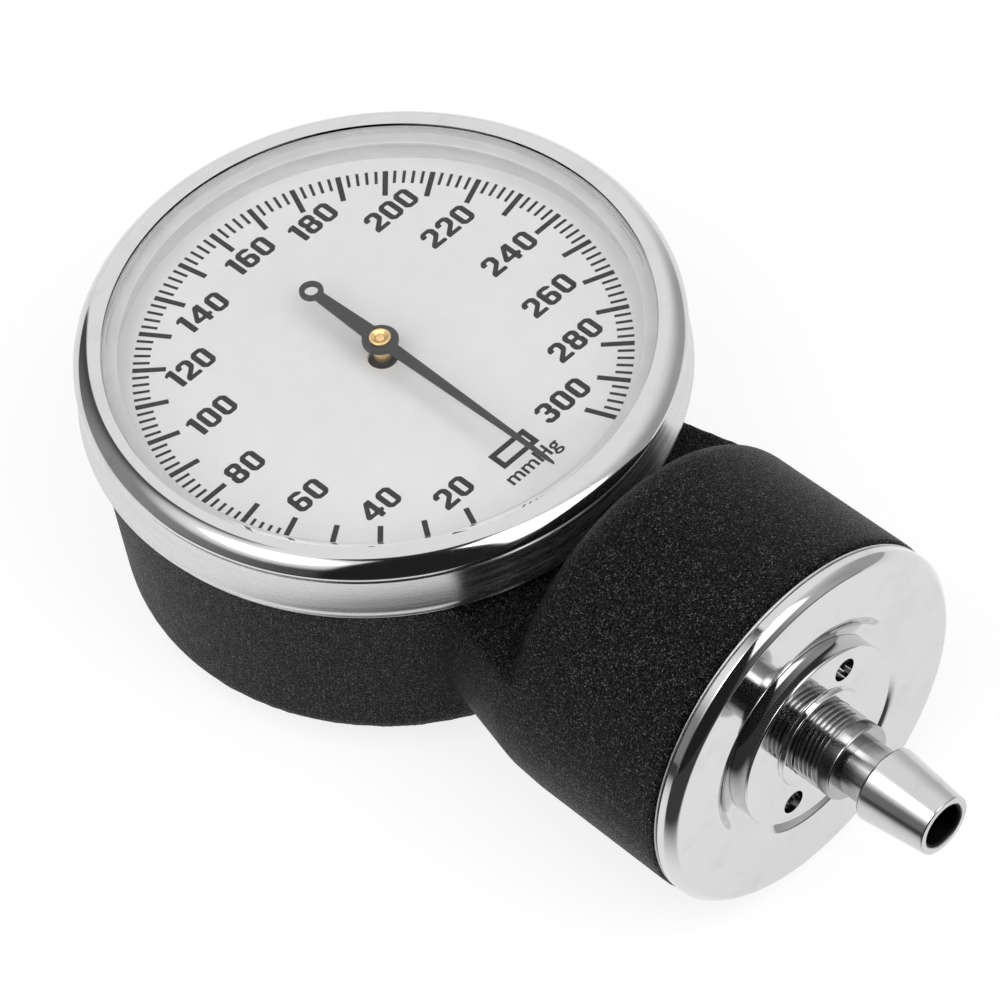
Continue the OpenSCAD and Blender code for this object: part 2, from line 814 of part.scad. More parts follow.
case();
case_band();
bezel_ring();
lens();
lens_gasket();
spacer_ring();
dial_plate();
pointer();
pointer_bush();
pointer_spindle();
pinion();
hairspring_collet();
hairspring();
hairspring_stud();
base_plate();
bridge_plate();
pillars();
pillar_screws();
movement_screws();
sector_arbor();
sector_gear();
sector_cam();
push_pin();
pin_guide();
capsule_boss();
capsule_front();
capsule_back();
inlet_stem();
stem_washer();
cap_washer();
end_cap();
spanner_nut();
hose_nipple();
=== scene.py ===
# %% [markdown]
# # A hand pressure gauge
#
# The gauge has a round dial in a cast cup, and a short cast cylinder with a chromed cap, a
# threaded stem and a hose nipple. Its movement comes from CAD and can turn, so the CAD model
# is loaded first as a fixed frame. Everything that is made here is set on that frame, in
# metres, and rides on one of its bodies.

# %% Load the frame
import math

import bpy
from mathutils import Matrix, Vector


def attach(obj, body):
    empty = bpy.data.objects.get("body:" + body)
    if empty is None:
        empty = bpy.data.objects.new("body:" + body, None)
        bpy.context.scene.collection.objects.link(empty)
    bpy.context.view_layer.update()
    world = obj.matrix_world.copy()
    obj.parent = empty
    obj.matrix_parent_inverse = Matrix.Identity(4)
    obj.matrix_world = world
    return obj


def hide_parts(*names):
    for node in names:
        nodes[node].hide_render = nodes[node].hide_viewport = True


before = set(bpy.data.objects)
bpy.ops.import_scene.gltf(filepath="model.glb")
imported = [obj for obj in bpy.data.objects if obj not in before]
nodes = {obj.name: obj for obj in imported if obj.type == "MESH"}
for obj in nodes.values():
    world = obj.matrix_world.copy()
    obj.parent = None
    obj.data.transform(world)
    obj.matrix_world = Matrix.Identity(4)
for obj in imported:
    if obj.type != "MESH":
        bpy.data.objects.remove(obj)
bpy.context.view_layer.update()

# %% [markdown]
# ## The camera
#
# The photograph is taken with a long lens from well above the gauge. A long lens keeps the
# round shapes from bulging. The place and turn are those at which the scale's tick ends and
# the cap's rim fall on the photograph's. Depth of field stays off, so every view is sharp.

# %% Camera
CAMERA_PLACE = (-0.2153885, -0.2760571, 0.4193413)
CAMERA_TURN = (0.6905930676589755, 0.08316391237597917, -0.7873884642482836)
LENS_MM, SENSOR_MM = 216, 36

bpy.ops.object.camera_add(location=CAMERA_PLACE, rotation=CAMERA_TURN)
camera = bpy.context.object
camera.name = "camera"
camera.data.lens = LENS_MM
camera.data.sensor_width = SENSOR_MM
camera.data.clip_start = 0.05
camera.data.clip_end = 10
bpy.context.scene.camera = camera
bpy.context.scene.view_settings.view_transform = "Standard"
bpy.context.view_layer.update()
print("camera at", [round(v, 3) for v in camera.location])

# %% [markdown]
# ## Shader sums
#
# A procedural finish is mostly arithmetic on patterns: a streak times a mask, one minus a
# speck. Written as nodes by hand, such a sum takes a page. A small class holds one output
# socket and turns Python's own signs into Math nodes, so a finish reads like a formula.


# %% A socket that can be summed
class Thread:
    """One output socket of a material. A sum with it adds Math nodes behind it."""

    def __init__(self, tree, socket=None):
        self.tree, self.socket = tree, socket

    def make(self, kind, settings=None, values=None, out=0):
        """A node of this kind: its settings, then the values or links of its sockets."""
        node = self.tree.nodes.new(kind)
        for key, setting in (settings or {}).items():
            setattr(node, key, setting)
        for key, value in (values or {}).items():
            if isinstance(value, Thread):
                self.tree.links.new(value.socket, node.inputs[key])
            else:
                node.inputs[key].default_value = value
        return Thread(self.tree, node.outputs[out])

    def also(self, out):
        """Another output of the node that this one comes from."""
        return Thread(self.tree, self.socket.node.outputs[out])

    def math(self, how, a, b=0.0):
        return self.make("ShaderNodeMath", {"operation": how}, {0: a, 1: b})

    def __add__(self, other):
        return self.math("ADD", self, other)

    __radd__ = __add__

    def __sub__(self, other):
        return self.math("SUBTRACT", self, other)

    def __rsub__(self, other):
        return self.math("SUBTRACT", other, self)

    def __mul__(self, other):
        return self.math("MULTIPLY", self, other)

    __rmul__ = __mul__

    def span(self, low, high, to_low=0.0, to_high=1.0):
        """This value mapped from low..high to to_low..to_high, softly and held there."""
        return self.make("ShaderNodeMapRange",
                         {"interpolation_type": "SMOOTHSTEP", "clamp": True},
                         {0: self, 1: low, 2: high, 3: to_low, 4: to_high})

    def blend(self, first, second):
        """A colour that goes from first to second as this value goes from 0 to 1."""
        return self.make("ShaderNodeMix", {"data_type": "RGBA"},
                         {0: self, 6: first, 7: second}, out=2)

    def scaled(self, x, y, z):
        """These coordinates multiplied by x, y and z, to stretch a pattern."""
        return self.make("ShaderNodeVectorMath", {"operation": "MULTIPLY"},
                         {0: self, 1: (x, y, z)})

    def noise(self, scale, detail=2.0, rough=0.5):
        """Cloudy noise on these coordinates, about 0 to 1. Scale is in patches a metre."""
        return self.make("ShaderNodeTexNoise", {"noise_dimensions": "3D"},
                         {"Vector": self, "Scale": scale, "Detail": detail,
                          "Roughness": rough})

    def part(self, axis):
        """The x, y or z value of these coordinates."""
        return self.make("ShaderNodeSeparateXYZ", values={0: self}, out="xyz".index(axis))

    def bump(self, strength, depth):
        """A normal raised by this height pattern; depth is in metres."""
        return self.make("ShaderNodeBump", values={
            "Strength": strength, "Distance": depth, "Height": self})


def new_finish(name):
    """A material with nothing in it, and the thread of its object coordinates."""
    finish = bpy.data.materials.new(name)
    finish.use_nodes = True
    finish.node_tree.nodes.clear()
    place = finish.node_tree.nodes.new("ShaderNodeTexCoord")
    return finish, Thread(finish.node_tree, place.outputs["Object"])


def close_finish(at, shader):
    """Links a shader to the material's output."""
    end = at.tree.nodes.new("ShaderNodeOutputMaterial")
    at.tree.links.new(shader.socket, end.inputs["Surface"])


def surface(at, **sockets):
    """The usual shader. Its sockets are named with _ for a space."""
    return at.make("ShaderNodeBsdfPrincipled",
                   values={key.replace("_", " "): value for key, value in sockets.items()})


print("shader sums ready")

# %% [markdown]
# ## The studio
#
# The gauge lies on a white table. It rests on the cup's back edge and on the mouth of the
# cylinder, so the table is a plane through both, tilted a little against the flat back.
# Polished metal shows what stands around it. The table and the backdrop are white for the
# eye and through glass, and the table keeps the gauge's own shadow. Towards the camera the
# white sheet ends soon, so reflections see the table darken there. How far a spot lies
# towards the camera is counted from under the dial.

# %% Table and backdrop
MM = 0.001
REST_SLOPE = math.radians(5.405)
REST_Y, REST_Z = -49.1, -6.955
SHEET_END, TABLE_DARK = 42, 75
SKY_LIGHT = 0.25
WHITE = (1, 1, 1, 1)


def seen_directly(at):
    """1 for rays from the camera, from a reflection or through glass, and 0 for light."""
    def path(out):
        return at.make("ShaderNodeLightPath", out=out)
    most = at.math("MAXIMUM", path("Is Camera Ray"), path("Is Glossy Ray"))
    return at.math("MAXIMUM", most, path("Is Transmission Ray"))


world = bpy.data.worlds.new("studio")
world.use_nodes = True
world.node_tree.nodes.clear()
bpy.context.scene.world = world
air = Thread(world.node_tree)
glow = air.make("ShaderNodeBackground", values={
    "Color": WHITE, "Strength": seen_directly(air) * (1 - SKY_LIGHT) + SKY_LIGHT})
sky_end = world.node_tree.nodes.new("ShaderNodeOutputWorld")
world.node_tree.links.new(glow.socket, sky_end.inputs["Surface"])

bpy.ops.mesh.primitive_plane_add(
    size=4, location=(0, REST_Y * MM, REST_Z * MM), rotation=(REST_SLOPE, 0, 0))
table = bpy.context.object
table.name = "table"
table_top, at = new_finish("white_table")
lit = at.make("ShaderNodeBsdfDiffuse", values={"Color": (0.8, 0.8, 0.8, 1)})
soft = at.make("ShaderNodeBsdfDiffuse", values={"Color": (0.3, 0.3, 0.3, 1)})
own = at.make("ShaderNodeEmission", values={"Color": WHITE, "Strength": 0.8})
bright = at.make("ShaderNodeAddShader", values={0: own, 1: soft})
dark = at.make("ShaderNodeEmission", values={"Color": WHITE, "Strength": 0.06})
nearer = at.part("x") * -0.615 + (at.part("y") - 34 * MM) * -0.788
past_sheet = nearer.span(SHEET_END * MM, TABLE_DARK * MM)
past_sheet = past_sheet * at.make("ShaderNodeLightPath", out="Is Glossy Ray")
bright = at.make("ShaderNodeMixShader", values={0: past_sheet, 1: bright, 2: dark})
close_finish(at, at.make("ShaderNodeMixShader", values={0: seen_directly(at), 1: lit, 2: bright}))
table.data.materials.append(table_top)
print("table slopes", round(math.degrees(REST_SLOPE), 2), "degrees")

# %% [markdown]
# ## Lamps
#
# Two broad soft lamps stand left and right of the camera, and a third hangs behind the dial.
# Together with the backdrop they light a white card at about its own colour.

# %% Lamps
ahead = Vector((camera.location.x, camera.location.y, 0)).normalized()
side = Vector((-ahead.y, ahead.x, 0))
middle = Vector((0, -15, 12)) * MM


def toward(turn, height):
    """A direction from the gauge: turn in degrees to the camera's right, and height."""
    turn, height = math.radians(turn), math.radians(height)
    flat = ahead * math.cos(turn) + side * math.sin(turn)
    return flat * math.cos(height) + Vector((0, 0, math.sin(height)))


def facing(direction):
    return direction.to_track_quat("Z", "Y").to_euler()


def softbox(name, turn, height, away, wide, tall, power):
    """A soft lamp that shines at the gauge from this direction."""
    direction = toward(turn, height)
    bpy.ops.object.light_add(type="AREA", location=middle + direction * away,
                             rotation=facing(direction))
    lamp = bpy.context.object
    lamp.name = name
    lamp.data.shape = "RECTANGLE"
    lamp.data.size, lamp.data.size_y = wide, tall
    lamp.data.energy = power
    lamp.visible_glossy = False


softbox("left_lamp", -50, 50, 0.36, 0.30, 0.36, 0.58)
softbox("right_lamp", 50, 46, 0.36, 0.30, 0.36, 0.58)
softbox("far_lamp", 180, 62, 0.5, 0.5, 0.3, 0.2)
print("three lamps")

# %% [markdown]
# ## What the metal sees
#
# Chrome shows the whole room. In the photograph it mirrors a pale backdrop, a darker wall on
# the left, the dark camera side and two bright lamps. A large dome, which only reflections
# see, carries these as plain soft-edged zones, each laid over those before it. A zone is
# given by its turn to the camera's right and its height above the table, both in degrees,
# and by how bright it is. The left lamp is round, so its zone is given by how well the view
# lines up with the direction of its middle.

# %% Dome of reflections
BACKDROP = 1.05
bpy.ops.mesh.primitive_uv_sphere_add(segments=96, ring_count=48, radius=1.2, location=middle,
                                     rotation=(0, 0, math.atan2(ahead.y, ahead.x)))
dome = bpy.context.object
dome.name = "reflection_dome"
bpy.ops.object.shade_smooth()
dome_look, at = new_finish("reflection_dome")
sight = at.make("ShaderNodeVectorMath", {"operation": "NORMALIZE"}, {0: at})
turn_of = at.math("ARCTAN2", sight.part("y"), sight.part("x")) * math.degrees(1)
height_of = at.math("ARCSINE", sight.part("z")) * math.degrees(1)


def glowing(strength):
    return at.make("ShaderNodeEmission", values={"Color": WHITE, "Strength": strength})


def between(value, low, high, soft):
    """1 from low to high, with edges as wide as soft on both sides."""
    return (value.span(low - soft / 2, low + soft / 2)
            * value.span(high - soft / 2, high + soft / 2, 1, 0))


def laid_on(under, mask, strength):
    """The dome's light with this zone laid over it."""
    return at.make("ShaderNodeMixShader", values={0: mask, 1: under, 2: glowing(strength)})


LEFT_BOX_WAY = (0.21, -0.47, 0.857)
from_left_box = at.make("ShaderNodeVectorMath", {"operation": "DOT_PRODUCT"},
                        {0: sight, 1: LEFT_BOX_WAY}, out="Value")
side_screen = between(turn_of, 75, 145, 30) * height_of.span(15, 60, 1, 0)
wall = turn_of.span(-147, -144) * turn_of.span(-4, 0, 1, 0) * height_of.span(66, 72, 1, 0)
camera_side = between(turn_of, -62, 66, 76) * height_of.span(80, 86, 1, 0)
left_glow = from_left_box.span(0.82, 0.97)
left_box = from_left_box.span(0.958, 0.984)
right_box = between(turn_of, 32, 72, 8) * between(height_of, 32, 76, 12)
camera_gap = between(turn_of, -31, 31, 6)
overhead = between(turn_of, -96, 92, 8) * height_of.span(76, 81)

look = glowing(BACKDROP)
look = laid_on(look, side_screen, 0.45)
look = laid_on(look, wall, 0.08)
look = laid_on(look, wall * turn_of.span(-144, -112), 0.33)
look = laid_on(look, camera_side, 0.07)
look = laid_on(look, left_glow, 1.1)
look = laid_on(look, left_box, 6.0)
look = laid_on(look, right_box, 4.0)
look = laid_on(look, camera_gap, 0.02)
look = laid_on(look, overhead, 0.03)
close_finish(at, look)
dome_look.cycles.emission_sampling = "NONE"
dome.data.materials.append(dome_look)
dome.visible_camera = dome.visible_diffuse = dome.visible_shadow = False
dome.visible_transmission = dome.visible_volume_scatter = False
print("dome of reflections ready")

# %% [markdown]
# ## Chrome
#
# Chrome is nearly a mirror, and what makes it real is what is wrong with it: faint smears
# where it was wiped, a few fine pits, and a surface that is not quite flat. The thread was
# plated less well than the cap, so the stem is darker and duller. Inside the hose nipple's
# bore the chrome is painted nearly black, as painted shade.


# %% Chrome
STEM_Z = 10.8
BORE_R = 2.15


def chrome(name, rough=0.06, smear=0.10, tint=(0.66, 0.66, 0.665, 1), bore=False):
    """Polished plate. With bore, the air bore is painted nearly black and rougher inside: painted
    shade.
    """
    finish, at = new_finish(name)
    smears = at.scaled(1, 1.6, 1).noise(220, 4, 0.6).span(0.48, 0.75)
    haze = at.noise(1400, 3, 0.6).span(0.4, 0.8)
    pits = at.noise(2600, 2, 0.5).span(0.72, 0.8)
    dull = tuple(c * 0.86 for c in tint[:3]) + (1,)
    colour = (smears * 0.5 + pits * 0.5).blend(tint, dull)
    dullness = rough + smears * haze * smear + pits * 0.2
    if bore:
        # painted shade: the inside of the air bore is painted nearly black and made rougher
        across = at.part("x")
        height = at.part("z") - STEM_Z * MM
        inside = (across * across + height * height).span(
            (BORE_R * MM) ** 2, ((BORE_R + 0.15) * MM) ** 2, 1, 0)
        colour = inside.blend(colour, (0.02, 0.02, 0.02, 1))
        dullness = dullness + inside * 0.4
    close_finish(at, surface(
        at, Base_Color=colour, Metallic=1.0, Roughness=dullness,
        Normal=at.noise(90, 2, 0.4).bump(0.12, 0.02 * MM)))
    return finish


plate = chrome("chrome_plate")
stem_plate = chrome("chrome_stem", rough=0.16, smear=0.2, tint=(0.42, 0.42, 0.42, 1))
# the nipple's bore gets its painted shade
nipple_plate = chrome("chrome_nipple", rough=0.16, tint=(0.6, 0.6, 0.605, 1), bore=True)
print("chrome ready")

# %% [markdown]
# ## Brushed metal
#
# The band was brushed while it turned, so its scratches run round it. The pattern is noise
# that is long across the ring and very fine up the ring, in colour, gloss and height. Such
# scratches smear a reflection up and down but not sideways.


# %% Brushed metal
def brushed(name, tint, fine, rough):
    """Metal with scratches round the Z axis; fine is in scratches a metre of height."""
    finish, at = new_finish(name)
    lines = at.scaled(70, 70, fine).noise(1, 4, 0.65)
    broad = at.scaled(40, 40, fine / 7).noise(1, 3, 0.5)
    mark = (lines * 0.6 + broad * 0.4).span(0.38, 0.64)
    dark = tuple(c * 0.86 for c in tint[:3]) + (1,)
    close_finish(at, surface(
        at, Base_Color=mark.blend(dark, tint), Metallic=1.0,
        Roughness=rough + mark * 0.08, Anisotropic=0.8, Anisotropic_Rotation=0.25,
        Normal=lines.bump(0.1, 0.006 * MM)))
    return finish


band_metal = brushed("brushed_band", (0.74, 0.74, 0.745, 1), 9000, 0.24)
washer_metal = brushed("pale_washer", (0.62, 0.62, 0.63, 1), 5000, 0.3)
print("brushed metal ready")

# %% [markdown]
# ## Cast paint
#
# The casting wears a black crinkle paint. Close up it is a fine dark grain with many tiny
# grains that catch the light. The grain is bump, and the lit grains are the middles of some
# cells of a Voronoi pattern, picked by the cell's own random colour. Their gloss is real,
# but their pale grey colour is a painted glint.


# %% Cast paint
def cast_paint():
    finish, at = new_finish("cast_paint")
    cells = at.make("ShaderNodeTexVoronoi", {"feature": "F1"},
                    {"Vector": at, "Scale": 5400.0}, out="Distance")
    picked = cells.also("Color").part("x")
    grain = at.noise(6500, 3, 0.7)
    relief = (grain * 0.75 + cells * -0.5).bump(1.0, 0.6 * MM)
    worn = grain.span(0.48, 0.62).blend((0.001, 0.001, 0.001, 1), (0.065, 0.065, 0.066, 1))
    dull = surface(at, Base_Color=worn, Specular_IOR_Level=0.08, Normal=relief,
                   Roughness=grain.span(0.3, 0.7, 0.5, 0.3))
    # lit grains: the gloss is real, the pale grey base colour is a painted glint
    lit = surface(at, Base_Color=(0.3, 0.3, 0.303, 1), Specular_IOR_Level=0.9,
                  Normal=relief, Roughness=0.2)
    painted_glint_fleck = picked.span(0.6, 1.0) * cells.span(0.1, 0.5, 1, 0)
    close_finish(at, at.make("ShaderNodeMixShader", values={0: painted_glint_fleck, 1: dull, 2: lit}))
    return finish


paint = cast_paint()
print("paint ready")

# %% [markdown]
# ## Dial, ink, plastic, rubber and the movement's metals
#
# The dial is thick white enamel with a faint mottle. The print on it is a real layer, a
# fiftieth of a millimetre high. The other finishes are plainer, but each has its own grain.


# %% Plain finishes
def plain(name, colour, rough, patch, depth, metal=0.0, change=0.12, **more):
    """A finish with a mottle of its own: patch is in patches a metre, depth in mm."""
    finish, at = new_finish(name)
    mottle = at.noise(patch, 3, 0.55)
    other = tuple(c * (1 - change) for c in colour[:3]) + (1,)
    close_finish(at, surface(
        at, Base_Color=mottle.span(0.35, 0.65).blend(colour, other), Metallic=metal,
        Roughness=mottle.span(0.3, 0.7, rough * 0.85, rough * 1.15),
        Normal=mottle.bump(0.3, depth * MM), **more))
    return finish


enamel = plain("dial_enamel", (0.88, 0.88, 0.885, 1), 0.4, 500, 0.004, change=0.02)
ink = plain("black_ink", (0.018, 0.018, 0.02, 1), 0.55, 2500, 0.004,
            Specular_IOR_Level=0.05)
needle_paint = plain("needle_paint", (0.032, 0.032, 0.035, 1), 0.4, 1500, 0.01,
                     Specular_IOR_Level=0.2)
ring_plastic = plain("ring_plastic", (0.74, 0.74, 0.745, 1), 0.35, 400, 0.01, change=0.06)
rubber = plain("black_rubber", (0.02, 0.02, 0.02, 1), 0.75, 1500, 0.02)
brass = plain("turned_brass", (0.72, 0.50, 0.22, 1), 0.22, 900, 0.01, metal=1.0)
steel = plain("ground_steel", (0.58, 0.58, 0.60, 1), 0.3, 1600, 0.01, metal=1.0)
bronze = plain("spring_bronze", (0.72, 0.46, 0.26, 1), 0.28, 700, 0.01, metal=1.0)
print("plain finishes ready")

# %% [markdown]
# ## Clear glass
#
# The window is a real plate of glass that bends the view of the dial. Its shine is toned
# down, so that the print stays black. Lamp light and the light from the dial pass it
# straight, so that the dial isn't darkened by it.

# %% Glass
glass, at = new_finish("window_glass")
pane = surface(at, Base_Color=WHITE, Roughness=0.0, IOR=1.49, Transmission_Weight=1.0,
               Specular_Tint=(0.35, 0.35, 0.35, 1),
               Normal=at.noise(60, 2, 0.4).bump(0.05, 0.01 * MM))
light_way = at.math("MAXIMUM", at.make("ShaderNodeLightPath", out="Is Shadow Ray"),
                    at.make("ShaderNodeLightPath", out="Is Diffuse Ray"))
close_finish(at, at.make("ShaderNodeMixShader", values={
    0: light_way, 1: pane, 2: at.make("ShaderNodeBsdfTransparent")}))
print("glass ready")

# %% [markdown]
# ## Turning on the lathe
#
# Most pieces are round, so they are made as a lathe makes them. A single point is extruded
# along the outline and the outline is spun round the axis. Pieces are drawn in millimetres
# about the Z axis. Those of the stem are then laid along its axis, with their height
# counted from the dial's axis outwards. Close beside each bend a spare ring is added, which
# keeps the flat faces flat when the piece is shaded smooth.


# %% Lathe
def arc(centre, radius, start, end, count):
    """Points along an arc, in millimetres and degrees."""
    turns = [math.radians(start + (end - start) * i / count) for i in range(count + 1)]
    return [(centre[0] + radius * math.cos(t), centre[1] + radius * math.sin(t))
            for t in turns]


def with_spares(outline, gap=0.06):
    """The outline with a spare point close to both ends of each long side."""
    points = []
    for (r0, z0), (r1, z1) in zip(outline, outline[1:] + outline[:1]):
        points.append((r0, z0))
        length = math.hypot(r1 - r0, z1 - z0)
        if length > 6 * gap:
            for share in (gap / length, 1 - gap / length):
                points.append((r0 + (r1 - r0) * share, z0 + (z1 - z0) * share))
    return points


def draw_line(points, closed):
    """A new mesh with one line through these (radius, height) points, left in edit mode."""
    bpy.ops.object.select_all(action="DESELECT")
    bpy.ops.mesh.primitive_plane_add(size=1, location=(0, 0, 0))
    bpy.ops.object.mode_set(mode="EDIT")
    bpy.ops.mesh.merge(type="CENTER")
    here = Vector((0, 0, 0))
    start = Vector((points[0][0], 0, points[0][1]))
    bpy.ops.transform.translate(value=start - here)
    here = start
    for r, z in points[1:] + (points[:1] if closed else []):
        there = Vector((r, 0, z))
        bpy.ops.mesh.extrude_region_move(TRANSFORM_OT_translate={"value": there - here})
        here = there
    bpy.ops.mesh.select_all(action="SELECT")
    bpy.ops.mesh.remove_doubles(threshold=1e-4)
    return bpy.context.object


def turned(outline, steps=256):
    """The outline spun round the Z axis, in millimetres."""
    closed = outline[0][0] > 1e-6
    points = with_spares(outline) if closed else with_spares(outline)[:-2]
    piece = draw_line(points, closed)
    bpy.ops.mesh.select_all(action="SELECT")
    bpy.ops.mesh.spin(steps=steps, angle=2 * math.pi, center=(0, 0, 0), axis=(0, 0, 1))
    bpy.ops.mesh.select_all(action="SELECT")
    bpy.ops.mesh.remove_doubles(threshold=1e-4)
    bpy.ops.mesh.normals_make_consistent(inside=False)
    bpy.ops.object.mode_set(mode="OBJECT")
    return piece


def only(piece):
    """Selects this piece alone and makes it the active one."""
    bpy.ops.object.select_all(action="DESELECT")
    piece.select_set(True)
    bpy.context.view_layer.objects.active = piece


def applied(piece, kind, **settings):
    """Adds a modifier with these settings and applies it."""
    only(piece)
    bpy.ops.object.modifier_add(type=kind)
    modifier = piece.modifiers[-1]
    for key, value in settings.items():
        setattr(modifier, key, value)
    bpy.ops.object.modifier_apply(modifier=modifier.name)


def carve(piece, tool, how="DIFFERENCE"):
    """Cuts the tool out of the piece, or joins it on, and removes the tool."""
    applied(piece, "BOOLEAN", object=tool, operation=how, solver="EXACT")
    bpy.data.objects.remove(tool)


def finished(piece, name, finish, body, node=None, on_stem=False, angle=30):
    """Sets a piece drawn in millimetres in its place, with its finish and its body."""
    piece.name = piece.data.name = name
    only(piece)
    if on_stem:
        piece.rotation_euler = (math.pi / 2, 0, 0)
        piece.location = (0, 0, STEM_Z * MM)
    piece.scale = (MM, MM, MM)
    bpy.ops.object.transform_apply(location=True, rotation=True, scale=True)
    bpy.ops.object.shade_smooth_by_angle(angle=math.radians(angle))
    dress(piece, finish, body, node)
    return piece


def dress(piece, finish, body, node=None):
    """Finish, body and replaced node of a piece that is in its place."""
    piece.data.materials.clear()
    piece.data.materials.append(finish)
    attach(piece, body)
    if node:
        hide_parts(node)
    print(piece.name, len(piece.data.polygons), "faces")


print("lathe ready")

# %% [markdown]
# ## The casting
#
# Cup, neck and cylinder are one casting with soft edges where they meet. Rounding such
# edges by hand is slow, so a merged copy of the CAD solid is rebuilt on a fine voxel grid
# and smoothed, which rounds every edge by about half a millimetre and keeps the walls.

# %% Casting
def own_copy(node):
    """A merged copy of a CAD node, free of the frame, to be worked on."""
    only(nodes[node])
    bpy.ops.object.duplicate()
    piece = bpy.context.object
    piece.parent = None
    for key in [k for k in piece.keys() if k.startswith("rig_")]:
        del piece[key]
    bpy.ops.object.mode_set(mode="EDIT")
    bpy.ops.mesh.select_all(action="SELECT")
    bpy.ops.mesh.remove_doubles(threshold=1e-6)
    bpy.ops.object.mode_set(mode="OBJECT")
    return piece


casting = own_copy("case")
applied(casting, "REMESH", mode="VOXEL", voxel_size=0.5 * MM)
applied(casting, "SMOOTH", factor=0.5, iterations=4)
casting.name = casting.data.name = "casting"
bpy.ops.object.shade_smooth()
dress(casting, paint, "gauge", "case")

# %% [markdown]
# ## The band, the bead and the inner ring
#
# The brushed band stands on a thin foot. Above a groove it is widest, and from there it
# narrows in a hollow curve to its top. The polished bead above it has a small undercut, a
# thin lower edge and a low round crown that falls off inwards to the window. A pale ring
# under the window holds the dial down. It has a thin lip at its top, with a fine groove, and
# its wall shows under the lip on the far side.

# %% Band, bead and inner ring
BAND_LOW, BAND_TOP, BAND_R = 17.72, 22.62, 27.45
BEAD_TOP, BEAD_R, SIGHT_R = 24.79, 27.25, 24.6
RIM_R, SEAT_R = 25.22, 25.12
DIAL_TOP, DIAL_R = 20.52, 24.3
RING_TOP, RING_LIP_R, RING_WALL_R = 23.23, 23.3, 23.95

foot = arc((BAND_R - 0.7, BAND_LOW + 0.1), 0.1, -90, 90, 8)
widest = arc((BAND_R - 0.405, 19.0), 0.4, -60, 16, 8)
hollow = arc((37.94, 22.5), 11.04, 197.83, 180, 24)
band = turned(
    [(RIM_R, BAND_LOW)] + foot
    + [(BAND_R - 0.82, BAND_LOW + 0.26), (BAND_R - 0.85, BAND_LOW + 0.34),
       (BAND_R - 0.85, BAND_LOW + 0.6)]
    + widest + hollow
    + [(BAND_R - 0.65, BAND_TOP), (25.97, BAND_TOP), (25.97, 20.04), (RIM_R, 20.04)])
finished(band, "brushed_band", band_metal, "gauge", "case_band")

lower_edge = arc((BEAD_R - 0.35, 23.39), 0.35, -90, 26, 12)
crown = arc((25.086, BEAD_TOP - 2.445), 2.445, 30, 100, 28)
bead = turned(
    [(RIM_R, 20.06), (25.95, 20.06), (25.95, 22.64), (BEAD_R - 0.75, 22.64),
     (BEAD_R - 0.7, 23.04)]
    + lower_edge + crown
    + [(SIGHT_R, 24.49), (SEAT_R, 24.49), (SEAT_R, RING_TOP), (RIM_R, RING_TOP)])
finished(bead, "polished_bead", plate, "gauge", "bezel_ring")

lip_foot = RING_TOP - 0.35
inner_ring = turned(
    [(RING_WALL_R, DIAL_TOP + 0.02), (DIAL_R, DIAL_TOP + 0.02), (DIAL_R, 21.94),
     (25.18, 21.94), (25.18, RING_TOP), (24.5, RING_TOP), (24.46, RING_TOP - 0.1),
     (24.34, RING_TOP - 0.1), (24.3, RING_TOP), (RING_LIP_R + 0.1, RING_TOP)]
    + arc((RING_LIP_R + 0.1, RING_TOP - 0.1), 0.1, 90, 180, 5)
    + [(RING_LIP_R, lip_foot + 0.05), (RING_LIP_R + 0.05, lip_foot),
       (RING_WALL_R, lip_foot)])
finished(inner_ring, "inner_ring", ring_plastic, "gauge", "spacer_ring")

# %% [markdown]
# ## The window
#
# A clear disc whose rim is held under the bead. Its middle stands a little higher, with a
# slanted edge that catches the light. It is turned like the rest.

# %% Window
LENS_LOW, LENS_TOP, LENS_R = 23.57, 24.47, 25.1
window = turned(
    [(0, LENS_LOW), (LENS_R - 0.1, LENS_LOW), (LENS_R, LENS_LOW + 0.1),
     (LENS_R, LENS_TOP - 0.1), (LENS_R - 0.1, LENS_TOP), (LENS_R - 0.6, LENS_TOP),
     (24.28, LENS_TOP + 0.13), (24.2, LENS_TOP + 0.15), (0, LENS_TOP + 0.15)])
finished(window, "window", glass, "gauge", "lens")

# %% [markdown]
# ## The dial and its scale
#
# The dial is a turned disc with a hole for the spindle. The scale runs clockwise from zero
# at the bottom, with a mark every 10 and, from 60 up, fine marks every 2. The zero has a
# box instead of a mark. The numbers are bold and upright. Each shape is an outline that a
# flat curve fills; it is made a mesh, given the print's thickness and laid on the enamel.

# %% Dial
DIAL_LOW, SPINDLE_HOLE = 20.04, 1.35
dial_edge = DIAL_R - 0.02
dial = turned(
    [(SPINDLE_HOLE, DIAL_LOW + 0.02), (SPINDLE_HOLE + 0.02, DIAL_LOW),
     (dial_edge - 0.02, DIAL_LOW), (dial_edge, DIAL_LOW + 0.02),
     (dial_edge, DIAL_TOP - 0.02), (dial_edge - 0.02, DIAL_TOP),
     (SPINDLE_HOLE + 0.04, DIAL_TOP), (SPINDLE_HOLE, DIAL_TOP - 0.04)])
finished(dial, "dial", enamel, "gauge", "dial_plate")


# %% Flat shapes
def rounded(corners, cut):
    """A closed outline with its corners cut round: three points for each corner."""
    points = []
    count = len(corners)
    for i, corner in enumerate(corners):
        here = Vector(corner)
        before, after = Vector(corners[i - 1]), Vector(corners[(i + 1) % count])
        for other in (before, after):
            reach = min(cut, (other - here).length * 0.45)
            points.append(here + (other - here).normalized() * reach)
        middle_point = (points[-1] + points[-2]) / 2 * 0.6 + here * 0.4
        points.insert(-1, middle_point)
    return [tuple(p) for p in points]


